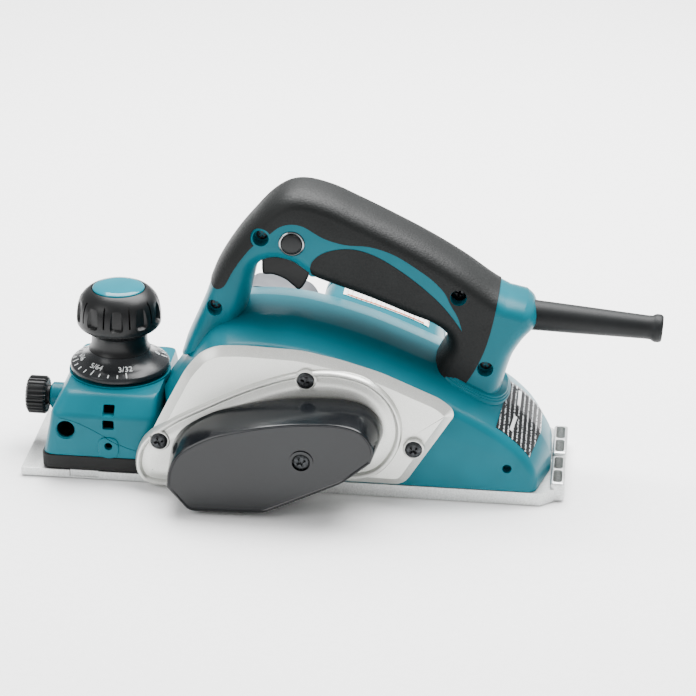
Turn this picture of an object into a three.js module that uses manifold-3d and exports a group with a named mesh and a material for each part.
// Hand-held electric planer: a long sole in two halves, a knife drum between them driven by a belt
// from a transverse motor, and a closed-loop handle over the motor housing.
// Millimetres, +Z up, front at -X, belt side at -Y. The origin is the centre of the rear sole.
import * as THREE from "three";
import { mergeVertices } from "three/addons/utils/BufferGeometryUtils.js";
import Module from "manifold-3d";

// ---------------------------------------------------------------- driving dimensions
const BASE_LENGTH = 285; // front edge of the front shoe to the rear edge of the rear shoe
const BASE_WIDTH = 82; // both shoes
const REAR_SHOE_T = 7;
const FRONT_SHOE_T = 4.6;
const DRUM_X = 107; // drum axis, measured from the front edge of the shoe
const CUT_RADIUS = 24.3; // knife tips
const KNIFE_PROUD = 1.9; // knife tips above the drum
const BELT_CENTRES = 64; // motor axis behind the drum axis
const MOTOR_Z = 41;
const MOTOR_R = 31; // bore for the stator
const MOTOR_END_Y = 80; // outer face of the right-hand motor end
const HOUSING_TOP = 88;
const WALL = 3;
const FRONT_BLOCK_TOP = 46; // top of the knob housing
const FRONT_BLOCK_FOOT = 13;
const KNOB_X = 46.3;
const DIAL_RADIUS = 26.2;
const KNOB_RADIUS = 22.3;
const KNOB_TOP = 94;
const COVER_DEPTH = 26; // belt cover, out from the side frame
const HANDLE_TOP = 156.5;
const HANDLE_WIDTH = 39;
const GRIP_SKIN = 3;
const SIDE_FRAME_T = 4;
const FRAME_BOSS = 2.7; // height of the oval boss on the side frame
const SHAFT_R = 5;
const BEARING_R = 11;
const PULLEY_INSET = 9.4; // drum pulley below the drum's surface, so that it stays clear of the sole
const PULLEY_MOTOR_R = 7.5;
const BELT_T = 2.4;
const BELT_W = 9;
const TRIGGER_TRAVEL = 6;
const GAP = 0.3; // between pieces that touch
const RUN = 0.4; // clearance round a piece that moves
const FENCE_BORE_R = 4.8;
const BUTTON_R = 5.6;
const GUARD_R = 8.2; // cord guard at its root
const GUARD_LENGTH = 84;
const SCREW_HEAD_R = 4.3;

const HALF_W = BASE_WIDTH / 2;
const HOUSING_W = HALF_W - GAP;
const HANDLE_W = HANDLE_WIDTH / 2;
const DRUM_RADIUS = CUT_RADIUS - KNIFE_PROUD;
const PULLEY_DRUM_R = DRUM_RADIUS - PULLEY_INSET;
const DRUM_Z = CUT_RADIUS + 0.2;
const MOTOR_X = DRUM_X + BELT_CENTRES;
const MOUTH = Math.sqrt(CUT_RADIUS ** 2 - (DRUM_Z - REAR_SHOE_T) ** 2) + 1.6;
const FRONT_SHOE_END = DRUM_X - MOUTH;
const REAR_SHOE_START = DRUM_X + MOUTH;
const ORIGIN_X = (REAR_SHOE_START + BASE_LENGTH) / 2;
const CHAMBER_R = CUT_RADIUS + 1.6;
const FRAME_IN = -HALF_W - GAP; // inner face of the side frame
const FRAME_OUT = FRAME_IN - SIDE_FRAME_T;
const BOSS_OUT = FRAME_OUT - FRAME_BOSS;
const COVER_OUT = BOSS_OUT - GAP - COVER_DEPTH;
const HOUSING_FOOT = REAR_SHOE_T + GAP;
const TAIL = BASE_LENGTH - 285; // a longer shoe carries the tail and the rear leg with it
const TOP = HOUSING_TOP - 88;
// A longer belt carries the motor end of the housing, frame and cover with it.
const REACH = BELT_CENTRES - 64;

// ---------------------------------------------------------------- helpers
const wasm = await Module();
wasm.setup();

// A closed geometry as a solid.
function solid(geometry) {
  const g = geometry.index ? geometry.toNonIndexed() : geometry.clone();
  const bare = new THREE.BufferGeometry().setAttribute("position", g.getAttribute("position"));
  const merged = mergeVertices(bare, 1e-4);
  return new wasm.Manifold(
    new wasm.Mesh({
      numProp: 3,
      vertProperties: merged.attributes.position.array,
      triVerts: new Uint32Array(merged.index.array),
    }),
  );
}

function geometryOf(made) {
  const m = made.getMesh();
  const v = new Float32Array(m.numVert * 3);
  for (let i = 0; i < m.numVert; i++) {
    v.set(m.vertProperties.subarray(i * m.numProp, i * m.numProp + 3), i * 3);
  }
  const g = new THREE.BufferGeometry()
    .setAttribute("position", new THREE.BufferAttribute(v, 3))
    .setIndex(new THREE.BufferAttribute(new Uint32Array(m.triVerts), 1));
  g.computeVertexNormals();
  return g;
}

const shapeOf = (points) => new THREE.Shape(points.map(([x, y]) => new THREE.Vector2(x, y)));

// A smooth run of [x, z] points through the given ones.
function smooth(points, count, closed = false) {
  const knots = points.map(([x, z]) => new THREE.Vector3(x, z, 0));
  const curve = new THREE.CatmullRomCurve3(knots, closed, "centripetal");
  const run = curve.getPoints(count).map((p) => [p.x, p.y]);
  return closed ? run.slice(0, -1) : run;
}

// A counter-clockwise outline moved inwards by d (outwards if d is negative).
function inset(points, d) {
  return points.map((p, i) => {
    const a = points[(i + points.length - 1) % points.length];
    const b = points[(i + 1) % points.length];
    const e1 = new THREE.Vector2(p[0] - a[0], p[1] - a[1]).normalize();
    const e2 = new THREE.Vector2(b[0] - p[0], b[1] - p[1]).normalize();
    const n1 = new THREE.Vector2(-e1.y, e1.x);
    const n2 = new THREE.Vector2(-e2.y, e2.x);
    const m = n1.clone().add(n2).normalize();
    const k = d / Math.max(0.5, m.dot(n1));
    return [p[0] + m.x * k, p[1] + m.y * k];
  });
}

// An [x, z] outline extruded across the tool from y0 to y1; rim chamfers or rounds both its ends.
function across(points, y0, y1, rim = 0, steps = 1, size = rim) {
  const g = new THREE.ExtrudeGeometry(shapeOf(points), {
    depth: y1 - y0 - 2 * rim, bevelEnabled: rim > 0, bevelThickness: rim, bevelSize: size,
    bevelOffset: -size, bevelSegments: steps,
  });
  return solid(g.rotateX(Math.PI / 2).translate(0, y1 - rim, 0));
}

// An [x, y] outline extruded upwards from z0 to z1.
function upright(points, z0, z1) {
  const g = new THREE.ExtrudeGeometry(shapeOf(points), { depth: z1 - z0, bevelEnabled: false });
  return solid(g.translate(0, 0, z0));
}

function block(x0, x1, y0, y1, z0, z1) {
  const g = new THREE.BoxGeometry(x1 - x0, y1 - y0, z1 - z0);
  return solid(g.translate((x0 + x1) / 2, (y0 + y1) / 2, (z0 + z1) / 2));
}

// A turned piece: [radius, height] pairs about the vertical axis, from the bottom up.
function turned(profile, segments = 32) {
  const g = new THREE.LatheGeometry(profile.map(([r, h]) => new THREE.Vector2(r, h)), segments);
  return solid(g.rotateX(Math.PI / 2));
}
const rod = (r, h0, h1, segments = 16) => turned([[0, h0], [r, h0], [r, h1], [0, h1]], segments);
const ring = (r, bore, h0, h1, segments = 16) =>
  turned([[bore, h0], [r, h0], [r, h1], [bore, h1], [bore, h0]], segments);
// Turned pieces stood at x, y; laid across the tool (height along +Y); laid along it (height along +X).
const upAt = (s, x, y = 0, z = 0) => s.translate([x, y, z]);
const acrossAt = (s, x, z, y = 0) => s.rotate([-90, 0, 0]).translate([x, y, z]);
const alongAt = (s, x, y, z) => s.rotate([0, 90, 0]).translate([x, y, z]);
const pinAcross = (r, x, z, y0, y1, segments = 16) => acrossAt(rod(r, y0, y1, segments), x, z);
const ringAcross = (r, bore, x, z, y0, y1, segments = 16) => acrossAt(ring(r, bore, y0, y1, segments), x, z);
const join = (parts) => parts.reduce((a, b) => a.add(b));
const cut = (made, tools) => tools.reduce((a, b) => a.subtract(b), made);

function rounded(x0, x1, y0, y1, r, steps = 3) {
  const corners = [[x1 - r, y1 - r], [x0 + r, y1 - r], [x0 + r, y0 + r], [x1 - r, y0 + r]];
  return corners.flatMap(([cx, cy], q) =>
    Array.from({ length: steps + 1 }, (_, i) => {
      const a = ((q + i / steps) * Math.PI) / 2;
      return [cx + r * Math.cos(a), cy + r * Math.sin(a)];
    }));
}

// ---------------------------------------------------------------- materials
const finish = (color, roughness, metalness) => ({ color, roughness, metalness });
const TEAL = finish("#0a8f9c", 0.38, 0);
const BLACK = finish("#25282a", 0.45, 0);
const RUBBER = finish("#3a3d3d", 0.75, 0);
const SILVER = finish("#c4c6c3", 0.35, 0.7);
const ALUMINIUM = finish("#c9cbca", 0.4, 0.9);
const STEEL = finish("#8b8f92", 0.35, 1);
const DARK_STEEL = finish("#3b3d3f", 0.4, 1);
const COPPER = finish("#b06a3a", 0.4, 1);

const planer = new THREE.Group();
planer.position.set(-ORIGIN_X, 0, 0);

function piece(name, made, look) {
  const mesh = new THREE.Mesh(geometryOf(made), new THREE.MeshStandardMaterial(look));
  mesh.name = name;
  planer.add(mesh);
}

// ---------------------------------------------------------------- outlines in side view, [x, z]
const FRONT_WALL_X = 72; // front wall of the motor housing
const housingTop = smooth([
  [FRONT_WALL_X, 42], [80, 54], [96, 80 + TOP], [105, 86 + TOP], [118, 88 + TOP], [134, 88 + TOP],
  [150 + REACH, 86 + TOP], [180 + REACH, 78 + TOP], [213 + REACH, 65 + TOP], [234 + TAIL, 56 + TOP],
  [252 + TAIL, 46], [262 + TAIL, 38], [270 + TAIL, 30],
  [276 + TAIL, 20], [277 + TAIL, HOUSING_FOOT + 3],
], 20);
const housingOutline = [[FRONT_WALL_X, -12], [277 + TAIL, -12], ...housingTop.slice().reverse()];

// The silver frame on the belt side.
const frameOutline = [
  [78, 1.5], [100, 1.5], [118, 8.2], [202 + REACH, 8.2], [227 + REACH, 49], [226 + REACH, 53],
  [220 + REACH, 58], [189 + REACH, 71], [168 + REACH, 77], [148 + REACH, 81],
  [117, 82], [104, 81], [96, 77], [88, 67], [78, 47], [67, 24], [65, 8], [69, 3],
];
const ovalOutline = smooth([
  [62, 12], [65, 26], [78, 38], [98, 50], [124, 63], [148 + REACH, 71], [167 + REACH, 72.5],
  [184 + REACH, 68], [196 + REACH, 57], [201 + REACH, 42],
  [198 + REACH, 27], [188 + REACH, 15], [165 + REACH, 10], [130, 8.5], [104, 2.6], [80, 1.2], [66, 4],
], 26, true).reverse();

// The belt cover's foot, where it meets the side frame.
const coverOutline = smooth([
  [84, 14], [83, 27], [88, 36.5], [97, 42.5], [112, 48.5], [132, 53.5], [152 + REACH, 56.5],
  [174 + REACH, 57.5], [186 + REACH, 53], [193 + REACH, 42],
  [190 + REACH, 32], [178 + REACH, 23], [153 + REACH, 10], [134, 2.6], [96, 2.6], [87, 7],
], 24, true).reverse();

// The handle: outer line from the front foot over the grip to the rear foot, and the finger opening.
const handleOuter = smooth([
  [83, 70 + TOP], [92, 92], [98.5, 111], [108, 128], [117, 139.5], [126, 149], [135, HANDLE_TOP - 1.6],
  [144, HANDLE_TOP], [158, HANDLE_TOP - 2.8], [172, HANDLE_TOP - 8.6], [191, HANDLE_TOP - 17.3],
  [209 + TAIL, HANDLE_TOP - 26.2], [228 + TAIL, 119.5], [246 + TAIL, 107], [254 + TAIL, 103],
], 16);
const handleRear = smooth([
  [262 + TAIL, 101], [264.5 + TAIL, 90], [262 + TAIL, 78], [256 + TAIL, 69], [252 + TAIL, 56],
  [247 + TAIL, 38],
], 8);
const opening = smooth([
  [112, 74], [116, 90], [119.5, 102], [123, 111], [130, 113], [140, 110.5], [148, 107], [153, 107],
  [163, 104.5], [182, 98], [201 + TAIL * 0.6, 90.5], [213 + TAIL, 86], [219 + TAIL, 81.5], [220 + TAIL, 76],
  [216 + TAIL, 68], [209 + TAIL, 56],
], 20);
const handleOutline = [
  ...opening, [205 + TAIL, 38], ...handleRear.slice().reverse(), ...handleOuter.slice().reverse(), [80, 60], [108, 60],
];

// Where the soft grip covers the handle: over the top, the back of the front leg and the rear leg.
const gripOutline = [
  [80, 104], [97, 104], [100, 102], [105, 104], [108, 112], [114, 121], [118, 127], [116, 133], [122, 140],
  [129, 138], [135, 140], [140, 141], [146, 140], [156, 134], [167, 131], [180, 131], [192, 127],
  [204 + TAIL, 120], [212 + TAIL, 114], [218 + TAIL, 108], [224 + TAIL, 97], [228 + TAIL, 88],
  [224 + TAIL, 90],
  [217 + TAIL, 101], [207 + TAIL, 110], [194, 120], [182, 127], [172, 129], [163, 128], [155, 125],
  [150, 120],
  [149, 116], [152, 100], [190, 86], [204 + TAIL, 60], [218 + TAIL, 60], [229 + TAIL, 57], [232 + TAIL, 61],
  [239 + TAIL, 75], [244 + TAIL, 88], [246 + TAIL, 103], [249 + TAIL, 118], [249 + TAIL, 180], [80, 180],
];
// The four screws of the handle.
const handleScrews = [[124, 132], [100, 92], [226 + TAIL, 105], [241 + TAIL, 66]];
const BUTTON = { x: 140, z: 130 };
const TRIGGER_X = 146;

// ---------------------------------------------------------------- shoes
const PAD_END = HALF_W - 6; // the rear corners are cut off outside the pads

function rearBase() {
  const end = BASE_LENGTH;
  const padTop = 10.5;
  const back = end - 5;
  const plan = [
    [REAR_SHOE_START, -HALF_W], [back - 8, -HALF_W], [back, -PAD_END], [back, PAD_END], [back - 8, HALF_W],
    [REAR_SHOE_START, HALF_W],
  ];
  const parts = [upright(plan, 0, REAR_SHOE_T)];
  const tools = [];
  // Two cored pads with rounded backs stand at the rear edge.
  const pad = [
    [end - 7.5, 0], [end - 1, 0], [end, 2], [end, padTop - 1.5], [end - 1, padTop], [end - 7.5, padTop],
  ];
  for (const [y0, y1] of [[-PAD_END, -2], [1, PAD_END]]) {
    parts.push(across(pad, y0, y1));
    const half = (y1 - y0 - 6) / 2;
    for (const y of [y0 + 2, y1 - 2 - half]) {
      tools.push(block(end - 5.7, end - 1.8, y, y + half, REAR_SHOE_T, padTop + 1));
    }
  }
  tools.push(pinAcross(CHAMBER_R, DRUM_X, DRUM_Z, -HALF_W - 1, HALF_W + 1, 48));
  return cut(join(parts), tools);
}

function frontBase() {
  // A shallow V groove along the middle guides the planer on an edge.
  const groove = new THREE.ExtrudeGeometry(shapeOf([[-2.4, -0.5], [2.4, -0.5], [0, 2.2]]), {
    depth: FRONT_SHOE_END + 2, bevelEnabled: false,
  }).rotateX(Math.PI / 2).rotateZ(Math.PI / 2).translate(-1, 0, 0);
  return cut(block(0, FRONT_SHOE_END, -HALF_W, HALF_W, 0, FRONT_SHOE_T), [
    solid(groove),
    pinAcross(CHAMBER_R, DRUM_X, DRUM_Z, -HALF_W - 1, HALF_W + 1, 48),
  ]);
}

// ---------------------------------------------------------------- knob housing and its slide
const FRONT_REAR_X = FRONT_WALL_X - GAP;
const FRONT_IN = 17; // inner face of the front wall
const CARRIAGE_W = HALF_W - 2.4 - RUN;
const CARRIAGE_TOP = 30;

function carriage() {
  const foot = rounded(FRONT_IN + RUN, FRONT_REAR_X - 2.4 - RUN, -CARRIAGE_W, CARRIAGE_W, 3);
  return upright(foot, FRONT_SHOE_T + GAP, 15)
    .add(block(KNOB_X - 11, KNOB_X + 11, -14, 14, 14, CARRIAGE_TOP))
    .subtract(upAt(rod(SHAFT_R + RUN, 8, CARRIAGE_TOP + 1), KNOB_X));
}

const FENCE = { x: 24.4, z: 28 };
const THUMB_Z = 28;

function frontHousing() {
  const side = [
    [11.6, FRONT_BLOCK_FOOT], [FRONT_REAR_X, FRONT_BLOCK_FOOT], [FRONT_REAR_X, FRONT_BLOCK_TOP],
    [20.5, FRONT_BLOCK_TOP], [17, 38],
  ];
  const made = across(side, -HALF_W, HALF_W)
    .intersect(upright(rounded(15.5, FRONT_REAR_X + 20, -HALF_W, HALF_W, 5), 0, 90));
  const tools = [block(FRONT_IN, FRONT_REAR_X - 2.4, -HALF_W + 2.4, HALF_W - 2.4, 0, FRONT_BLOCK_TOP - 12)];
  for (const s of [-1, 1]) {
    // A sloped shoulder along each top edge.
    const w = HALF_W + 1;
    const t = FRONT_BLOCK_TOP + 1;
    const shoulder = shapeOf([[s * w, t - 10], [s * w, t], [s * (w - 10), t]]);
    const wedge = new THREE.ExtrudeGeometry(shoulder, { depth: 90, bevelEnabled: false })
      .rotateX(Math.PI / 2).rotateZ(Math.PI / 2).translate(0, 0, 0);
    tools.push(solid(wedge));
  }
  tools.push(pinAcross(FENCE_BORE_R, FENCE.x, FENCE.z, -HALF_W - 1, HALF_W + 1, 20));
  tools.push(alongAt(rod(3 + RUN, -1, 16), 8, 0, THUMB_Z));
  for (const z of [32, 39]) tools.push(block(44, 50, -HALF_W - 1, -HALF_W + 1.6, z - 2.3, z + 2.3));
  tools.push(pinAcross(2, 47, 20, -HALF_W - 1, -HALF_W + 1.6, 12));
  tools.push(upAt(rod(SHAFT_R + RUN, 25, 60), KNOB_X));
  const seat = upAt(ring(DIAL_RADIUS + 2.6, DIAL_RADIUS + 0.6, FRONT_BLOCK_TOP - 1, FRONT_BLOCK_TOP + 1.6, 40), KNOB_X);
  const boss = alongAt(rod(7, 0, 10), 9, 0, THUMB_Z);
  return cut(made.add(boss), tools).add(seat.intersect(block(0, FRONT_REAR_X, -40, 40, 0, 90)));
}

// ---------------------------------------------------------------- motor housing
// The chip channel: from the drum chamber up and out to the right.
const chuteOutline = [
  [112, 48], [142, 45], [146, 50], [146, 70], [142, 76], [134, 78.5], [112, 80.5], [108, 76], [108, 54],
];
const throat = [[96, 44], [128, 40], [150, 46], [150, 60], [110, 60]];
// The motor's right-hand end stands out of the housing.
const motorEnd = smooth([
  [147.5 + REACH, 30], [147.5 + REACH, 62], [150 + REACH, 71], [157 + REACH, 75.5], [168 + REACH, 73],
  [210 + REACH, 56.5], [214 + REACH, 49], [214 + REACH, 24], [208 + REACH, 14], [190 + REACH, 9],
  [160 + REACH, 9], [150 + REACH, 14],
], 24, true).reverse();

function motorHousing() {
  const shell = across(housingOutline, -HOUSING_W, HOUSING_W, 7);
  const hollow = across(inset(housingOutline, WALL), -HOUSING_W + WALL, HOUSING_W - WALL, 5.5);
  const inside = across(inset(housingOutline, 1), -HOUSING_W + 1, HOUSING_W - 1, 6);
  const core = join([
    pinAcross(CHAMBER_R + 2, DRUM_X, DRUM_Z, -HOUSING_W, HOUSING_W, 32),
    across(inset(throat, -2), -HOUSING_W + 2, HOUSING_W - 2),
    across(inset(chuteOutline, -2), -10, HOUSING_W),
    pinAcross(MOTOR_R + 2, MOTOR_X, MOTOR_Z, -HOUSING_W, HOUSING_W, 32),
  ]).intersect(inside);
  const made = shell.subtract(hollow).add(core)
    .add(across(motorEnd, HOUSING_W - 8, MOTOR_END_Y - 12, 2));
  return cut(made.intersect(block(0, 400 + TAIL, -60, 90, HOUSING_FOOT, 120)), [
    pinAcross(CHAMBER_R, DRUM_X, DRUM_Z, -60, 60, 48),
    across(throat, -HOUSING_W + 6, HOUSING_W - 6),
    across(inset(chuteOutline, 2), -6, HOUSING_W + 5),
    pinAcross(MOTOR_R, MOTOR_X, MOTOR_Z, -60, HOUSING_W - 4, 32),
    pinAcross(22, MOTOR_X, MOTOR_Z, 0, MOTOR_END_Y, 28),
    // A passage for the wires up into the handle.
    upAt(rod(5, 40, 90, 12), 228 + TAIL),
  ]);
}

function motorEndCap() {
  const vents = [];
  for (let i = 0; i < 4; i++) {
    const x = 156 + i * 12;
    vents.push(block(x, x + 5, MOTOR_END_Y - 3, MOTOR_END_Y + 1, 18, 26));
    vents.push(block(x, x + 5, MOTOR_END_Y - 3, MOTOR_END_Y + 1, 56, 62 - i * 1.6));
  }
  return cut(across(motorEnd, MOTOR_END_Y - 12 + GAP, MOTOR_END_Y + 12 - GAP, 6).intersect(
    block(100, 260, 0, MOTOR_END_Y - 6, 0, 100)).add(across(inset(motorEnd, 2.2), MOTOR_END_Y - 8, MOTOR_END_Y)), [
    pinAcross(BEARING_R + GAP, MOTOR_X, MOTOR_Z, 40, MOTOR_END_Y - 3),
    ...vents,
  ]);
}

function chipNozzle() {
  return across(chuteOutline, HALF_W + GAP - 0.1, HALF_W + 19, 0)
    .subtract(across(inset(chuteOutline, 2.4), HALF_W - 5, HALF_W + 25));
}

// ---------------------------------------------------------------- belt side
const plateScrews = [[75, 28], [151, 67], [207 + REACH, 31.5]];
const COVER_SCREW = { x: 152, z: 33 };

function sideFrame() {
  const tools = [
    pinAcross(BEARING_R + GAP, DRUM_X, DRUM_Z, -60, -20),
    pinAcross(BEARING_R + GAP, MOTOR_X, MOTOR_Z, -60, -20),
    pinAcross(1.8, COVER_SCREW.x, COVER_SCREW.z, -90, BOSS_OUT - 8, 12),
    ...plateScrews.map(([x, z]) => pinAcross(2.3, x, z, -60, -20, 12)),
    ...plateScrews.map(([x, z]) => pinAcross(SCREW_HEAD_R + GAP, x, z, -60, FRAME_OUT + 1.2, 20)),
  ];
  return cut(join([
    across(frameOutline, FRAME_OUT, FRAME_IN, 1.2),
    across(ovalOutline, BOSS_OUT, FRAME_IN - 2, 0.8),
    ringAcross(BEARING_R + 3, BEARING_R, MOTOR_X, MOTOR_Z, FRAME_IN - 2, FRAME_IN + 5),
    pinAcross(4.6, COVER_SCREW.x, COVER_SCREW.z, COVER_OUT + 9, FRAME_IN - 2),
  ]), tools);
}

// A cap drafted towards its outer face.
function drafted(points, yOut, draft) {
  const deep = BOSS_OUT - GAP - yOut;
  return across(points, yOut, BOSS_OUT - GAP + deep + 2, deep, 1, draft)
    .intersect(block(0, 300, yOut - 1, BOSS_OUT - GAP, -10, 90));
}

function beltCover() {
  return cut(drafted(coverOutline, COVER_OUT, 3), [
    drafted(inset(coverOutline, 2.4), COVER_OUT + 2.4, 2.6).add(
      across(inset(coverOutline, 2.4), BOSS_OUT - 4, BOSS_OUT + 4)),
  ]).add(pinAcross(6.4, COVER_SCREW.x, COVER_SCREW.z, COVER_OUT + 1, COVER_OUT + 8.4))
    .subtract(pinAcross(2.3, COVER_SCREW.x, COVER_SCREW.z, COVER_OUT - 1, COVER_OUT + 20, 12))
    .subtract(pinAcross(SCREW_HEAD_R + GAP, COVER_SCREW.x, COVER_SCREW.z, COVER_OUT - 1, COVER_OUT + 2.8));
}

// A screw driven from the belt side; depth is its head's height.
function screwAcross(x, z, yHead, depth, headR, length) {
  return pinAcross(headR, x, z, yHead, yHead + depth, 14).add(pinAcross(1.4, x, z, yHead + 1, yHead + length, 8));
}

// A belt loop: the outline round both pulleys, grown by d.
function beltLoop(grow) {
  const r1 = PULLEY_DRUM_R + grow;
  const r2 = PULLEY_MOTOR_R + grow;
  const dx = MOTOR_X - DRUM_X;
  const dz = MOTOR_Z - DRUM_Z;
  const lean = Math.atan2(dz, dx);
  const open = Math.acos((r1 - r2) / Math.hypot(dx, dz));
  const arc = (x, z, r, a0, a1, n) => Array.from({ length: n + 1 }, (_, i) => {
    const a = a0 + ((a1 - a0) * i) / n;
    return [x + r * Math.cos(a), z + r * Math.sin(a)];
  });
  return [
    ...arc(MOTOR_X, MOTOR_Z, r2, lean - open, lean + open, 10),
    ...arc(DRUM_X, DRUM_Z, r1, lean + open, lean + 2 * Math.PI - open, 14),
  ];
}
const BELT_Y = BOSS_OUT - 1.4 - BELT_W;

// ---------------------------------------------------------------- drum
function drumPart(made, turn) {
  return made.rotate([0, turn, 0]).translate([DRUM_X, 0, DRUM_Z]);
}
const DRUM_W = HALF_W - 0.6;
const pocket = { t0: -2, t1: 9, u0: DRUM_RADIUS - 7.4 };
const boltPlaces = [-22, 22];
const boltWay = (y) => upAt(rod(2 + GAP, DRUM_RADIUS - 13.4, DRUM_RADIUS - 2.4, 10), 4.2, y);

function drumCore() {
  const tools = [rod(SHAFT_R + GAP, -60, 60).rotate([-90, 0, 0])];
  for (const turn of [0, 180]) {
    tools.push(block(pocket.t0, pocket.t1, -60, 60, pocket.u0, 30).rotate([0, turn, 0]));
    for (const y of boltPlaces) tools.push(boltWay(y).rotate([0, turn, 0]));
  }
  return drumPart(cut(rod(DRUM_RADIUS, -DRUM_W, DRUM_W, 40).rotate([-90, 0, 0]), tools), 0);
}

// ---------------------------------------------------------------- handle
const GUARD_ROOT_R = 10;
const GUARD = { x: 251 + TAIL, z: 90.5, tilt: 3.4 };
const guardPart = (made) => made.rotate([0, 90 + GUARD.tilt, 0]).translate([GUARD.x, 0, GUARD.z]);

function handleParts() {
  const full = across(handleOutline, -HANDLE_W, HANDLE_W, 5);
  const coreOutline = inset(handleOutline, GRIP_SKIN);
  const inner = across(coreOutline, -HANDLE_W + GRIP_SKIN, HANDLE_W - GRIP_SKIN, 3, 1);
  const innerGrown = across(inset(handleOutline, GRIP_SKIN - GAP), -HANDLE_W + GRIP_SKIN - GAP,
    HANDLE_W - GRIP_SKIN + GAP, 3, 1);
  const zone = across(gripOutline, -30, 30);
  const zoneIn = across(inset(gripOutline, GAP), -30, 30);
  const hollow = across(inset(handleOutline, GRIP_SKIN + WALL), -HANDLE_W + 7, HANDLE_W - 7);
  const posts = join(handleScrews.map(([x, z]) => pinAcross(5.4, x, z, -HANDLE_W + 4, HANDLE_W - 4, 12)));
  const housingRoof = across(inset(housingOutline, -GAP), -HALF_W, HALF_W);
  const guardSeat = [
    guardPart(rod(GUARD_R + GAP, -2, 40)),
    guardPart(rod(GUARD_ROOT_R + GAP, -4 - GAP, -1 + GAP)),
  ];
  const triggerSlot = block(TRIGGER_X - 24, TRIGGER_X + 11.4, -7.5 - RUN, 7.5 + RUN, 80, 128);
  const tools = [
    housingRoof,
    ...handleScrews.map(([x, z]) => pinAcross(1.7, x, z, -40, 8, 10)),
    ...handleScrews.map(([x, z]) => pinAcross(4, x, z, -40, -9, 12)),
    pinAcross(BUTTON_R + RUN, BUTTON.x, BUTTON.z, -40, -3),
    pinAcross(BUTTON_R + 2.2, BUTTON.x, BUTTON.z, -40, -HANDLE_W + 3.4),
    ...guardSeat,
    triggerSlot,
  ];
  const shell = cut(full.subtract(zone).add(inner).subtract(hollow).add(posts.intersect(inner)), tools);
  const grip = cut(full.intersect(zoneIn).subtract(innerGrown), [
    housingRoof,
    ...handleScrews.map(([x, z]) => pinAcross(4.6, x, z, -40, 0, 12)),
    pinAcross(BUTTON_R + 3, BUTTON.x, BUTTON.z, -40, 0),
    ...guardSeat,
    triggerSlot,
  ]);
  const left = block(0, 500, -60, -GAP / 2, 0, 300);
  const right = block(0, 500, GAP / 2, 60, 0, 300);
  return {
    handle_left: shell.intersect(left), handle_right: shell.intersect(right),
    grip_left: grip.intersect(left), grip_right: grip.intersect(right),
  };
}

// ---------------------------------------------------------------- pieces
piece("rear_base", rearBase(), ALUMINIUM);
piece("front_base", frontBase(), ALUMINIUM);
piece("front_carriage", carriage(), BLACK);
piece("front_housing", frontHousing(), TEAL);
piece("motor_housing", motorHousing(), TEAL);
piece("motor_end_cap", motorEndCap(), TEAL);
piece("chip_nozzle", chipNozzle(), BLACK);
piece("side_frame", sideFrame(), SILVER);
piece("belt_cover", beltCover(), BLACK);
const handle = handleParts();
for (const side of ["left", "right"]) {
  piece(`handle_${side}`, handle[`handle_${side}`], TEAL);
  piece(`grip_${side}`, handle[`grip_${side}`], RUBBER);
}


function trigger() {
  const x = TRIGGER_X;
  const outline = [
    [x - 23, 118], [x - 22.5, 105], [x - 19, 103], [x - 10, 102.6], [x - 1, 98.5], [x + 5, 93.5], [x + 9, 93],
    [x + 12, 97], [x + 7.5, 106], [x + 7.5, 116], [x + 4, 118],
  ];
  return across(outline, -7.5, 7.5, 1.2).add(upAt(rod(2.5, 117, 134, 12), x - 3));
}

// Switch body over the trigger; the plunger enters from below.
function switchBody() {
  const x = TRIGGER_X;
  const outline = [
    [x - 14, 125], [x + 24, 125], [x + 24, 133], [x + 17, 142], [x - 7, 147], [x - 14, 145],
  ];
  return across(outline, -9, 9, 0.8).subtract(upAt(rod(2.5 + RUN, 120, 134 + TRIGGER_TRAVEL + RUN, 12), x - 3));
}

function cordGuard() {
  const tip = GUARD_LENGTH;
  const profile = [
    [3.6, 0], [GUARD_ROOT_R, 0], [GUARD_ROOT_R, 3], [GUARD_R, 3], [GUARD_R - 0.6, 24], [6.3, tip - 6],
    [6.6, tip - 4], [7.4, tip - 3], [7.4, tip], [3.6, tip], [3.6, 0],
  ];
  return guardPart(turned(profile, 20).translate([0, 0, -4]));
}

function depthKnob() {
  const foot = DIAL_TOP + GAP;
  const profile = [
    [SHAFT_R, foot], [16.6, foot], [15.8, foot + 3], [18.2, foot + 6.5], [KNOB_RADIUS - 0.6, foot + 9.5],
    [KNOB_RADIUS, foot + 12], [KNOB_RADIUS, foot + 19], [KNOB_RADIUS - 2, foot + 26], [16.6, KNOB_TOP - 2.4],
    [14.4, KNOB_TOP - 1], [14, KNOB_TOP - 1], [14, KNOB_TOP - 4], [SHAFT_R, KNOB_TOP - 4], [SHAFT_R, foot],
  ];
  const scallops = Array.from({ length: 10 }, (_, i) =>
    upAt(rod(3.6, foot + 12, foot + 24, 8), KNOB_RADIUS + 2).rotate([0, 0, 25 + i * 36]));
  return upAt(cut(turned(profile, 30), scallops), KNOB_X);
}
const DIAL_FOOT = FRONT_BLOCK_TOP + 2;
const DIAL_TOP = DIAL_FOOT + 10.4;

function depthDial() {
  const profile = [
    [SHAFT_R, DIAL_FOOT], [DIAL_RADIUS, DIAL_FOOT], [DIAL_RADIUS, DIAL_FOOT + 2.8], [17, DIAL_TOP - 1.6], [17, DIAL_TOP],
    [SHAFT_R, DIAL_TOP], [SHAFT_R, DIAL_FOOT],
  ];
  return upAt(turned(profile, 32), KNOB_X);
}

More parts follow.
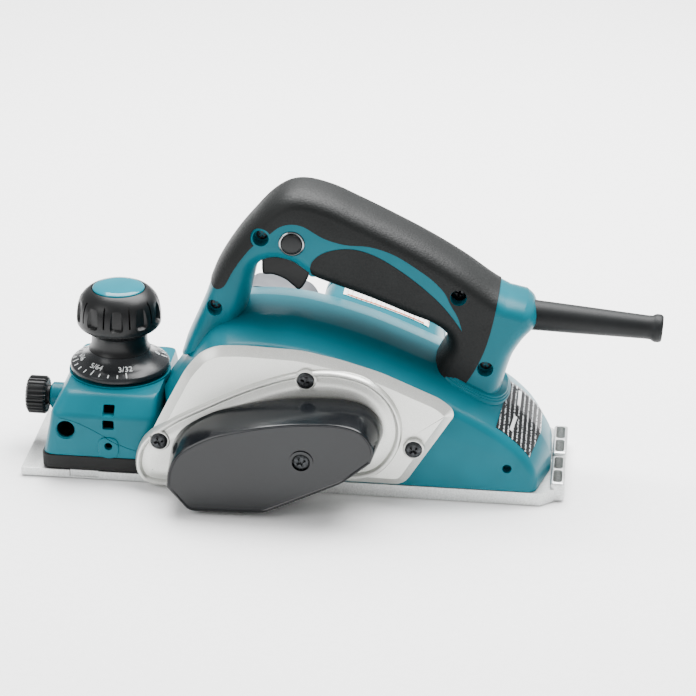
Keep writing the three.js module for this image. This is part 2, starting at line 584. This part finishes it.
function thumbScrew() {
  const ribs = Array.from({ length: 12 }, (_, i) =>
    upAt(rod(1.5, -6, 20, 6), 10.8).rotate([0, 0, i * 30]));
  const head = turned([
    [0, 0], [8.4, 0], [10.4, 2], [10.4, 9.6], [9.4, 11], [3, 11], [3, 22.6], [0, 22.6],
  ], 24);
  return alongAt(cut(head, ribs), -4, 0, THUMB_Z);
}

// ---------------------------------------------------------------- running gear
const tubeY = (r, bore, y0, y1, n = 16) => ring(r, bore, y0, y1, n).rotate([-90, 0, 0]);
const rodY = (r, y0, y1, n = 16) => rod(r, y0, y1, n).rotate([-90, 0, 0]);
const atMotor = (made) => made.translate([MOTOR_X, 0, MOTOR_Z]);
const BRG_L = [BOSS_OUT + 0.4, FRAME_IN - 0.4]; // drum bearing in the side frame
const GUARD_IN = HALF_W + GAP;
const SHAFT_IN = SHAFT_R + GAP;

function drumEndGuard() {
  const plate = pinAcross(CHAMBER_R + 1, DRUM_X, DRUM_Z, GUARD_IN, GUARD_IN + 3, 32)
    .intersect(block(0, 200, 0, 90, 1, DRUM_Z + 22));
  return plate.add(pinAcross(BEARING_R + 3, DRUM_X, DRUM_Z, GUARD_IN, GUARD_IN + 8, 28))
    .subtract(pinAcross(BEARING_R + GAP, DRUM_X, DRUM_Z, GUARD_IN - 1, GUARD_IN + 6.6, 24))
    .subtract(across(inset(chuteOutline, -GAP), 30, 90));
}

piece("drum_end_guard", drumEndGuard(), BLACK);
piece("drum_core", drumCore(), ALUMINIUM);
piece("drum_shaft", drumPart(rodY(SHAFT_R, BOSS_OUT - 1.4 - BELT_W - 2, GUARD_IN + 6), 0), STEEL);
[0, 180].forEach((turn, i) => {
  const n = i + 1;
  const knife = block(pocket.t0 + GAP, pocket.t0 + GAP + 1.1, -HALF_W, HALF_W, pocket.u0 + 2, CUT_RADIUS - 0.1);
  piece(`knife_${n}`, drumPart(knife, turn), STEEL);
  let plate = block(pocket.t0 + 2 * GAP + 1.1, pocket.t1 - GAP, -DRUM_W, DRUM_W, pocket.u0 + GAP,
    DRUM_RADIUS - 4.2);
  for (const y of boltPlaces) plate = plate.subtract(boltWay(y));
  piece(`knife_clamp_${n}`, drumPart(plate, turn), DARK_STEEL);
  boltPlaces.forEach((y, k) => {
    const bolt = rod(3.2, DRUM_RADIUS - 3.9, DRUM_RADIUS - 0.8, 6)
      .add(rod(2, DRUM_RADIUS - 12.8, DRUM_RADIUS - 3.4, 10));
    piece(`knife_bolt_${n}_${k + 1}`, drumPart(upAt(bolt, 4.2, y), turn), DARK_STEEL);
  });
});
piece("drum_bearing_left", drumPart(tubeY(BEARING_R, SHAFT_IN, ...BRG_L), 0), STEEL);
piece("drum_bearing_right", drumPart(tubeY(BEARING_R, SHAFT_IN, GUARD_IN + 0.4, GUARD_IN + 6), 0), STEEL);
piece("drum_pulley", drumPart(tubeY(PULLEY_DRUM_R, SHAFT_IN, BELT_Y, BELT_Y + BELT_W), 0), DARK_STEEL);
piece("motor_pulley", atMotor(tubeY(PULLEY_MOTOR_R, SHAFT_IN, BELT_Y, BELT_Y + BELT_W)), DARK_STEEL);
piece("drive_belt", across(beltLoop(RUN + BELT_T), BELT_Y, BELT_Y + BELT_W)
  .subtract(across(beltLoop(RUN), BELT_Y - 1, BELT_Y + BELT_W + 1)), RUBBER);

// Motor: the winding length lies between the fan on the belt side and the commutator on the right.
piece("motor_shaft", atMotor(rodY(SHAFT_R, BELT_Y - 2, MOTOR_END_Y - 6)), STEEL);
piece("motor_bearing_left", atMotor(tubeY(BEARING_R, SHAFT_IN, BOSS_OUT + 0.8, FRAME_IN + 4.4)), STEEL);
piece("motor_bearing_right", atMotor(tubeY(BEARING_R, SHAFT_IN, MOTOR_END_Y - 11, MOTOR_END_Y - 4)), STEEL);
piece("motor_fan", atMotor(tubeY(26, SHAFT_IN, FRAME_IN + 7, FRAME_IN + 17, 20)), BLACK);
piece("stator", atMotor(tubeY(MOTOR_R - 0.5, 19, -20, 14, 28)), DARK_STEEL);
piece("rotor_core", atMotor(tubeY(18.2, SHAFT_IN, -18, 12)), COPPER);
piece("commutator", atMotor(tubeY(11, SHAFT_IN, 22, 36)), COPPER);
[1, -1].forEach((s, i) => {
  const brush = block(-3, 3, 26, 34, s > 0 ? 11.5 : -21, s > 0 ? 21 : -11.5);
  piece(`carbon_brush_${i + 1}`, atMotor(brush), DARK_STEEL);
});

piece("depth_dial", depthDial(), BLACK);
piece("depth_knob", depthKnob(), BLACK);
piece("knob_cap", upAt(rod(13.6, KNOB_TOP - 4 + GAP, KNOB_TOP, 32), KNOB_X), TEAL);
piece("knob_spindle", upAt(rod(SHAFT_R - GAP, 12, KNOB_TOP - 6, 20), KNOB_X), STEEL);
piece("thumb_screw", thumbScrew(), BLACK);
piece("trigger", trigger(), BLACK);
piece("switch_body", switchBody(), BLACK);
piece("lock_button", pinAcross(BUTTON_R, BUTTON.x, BUTTON.z, -HANDLE_W - 1.2, -13), BLACK);
const bezel = ring(BUTTON_R + 1.9, BUTTON_R + RUN, -HANDLE_W - 0.4, -HANDLE_W + 3, 16);
piece("button_ring", acrossAt(bezel, BUTTON.x, BUTTON.z), STEEL);
piece("cord_guard", cordGuard(), RUBBER);
piece("cord_clamp", block(238 + TAIL, 243 + TAIL, -9, 9, 86, 95)
  .subtract(alongAt(rod(3.6, -10, 10, 12), 240 + TAIL, 0, 91)), BLACK);
plateScrews.forEach(([x, z], i) => {
  piece(`plate_screw_${i + 1}`, screwAcross(x, z, BOSS_OUT - 1.2, 2.6, SCREW_HEAD_R, 8), DARK_STEEL);
});
piece("cover_screw", screwAcross(COVER_SCREW.x, COVER_SCREW.z, COVER_OUT, 2.5, SCREW_HEAD_R, 12), DARK_STEEL);
handleScrews.forEach(([x, z], i) => {
  piece(`handle_screw_${i + 1}`, screwAcross(x, z, -13, 3, 3.4, 18), DARK_STEEL);
});

export default planer;
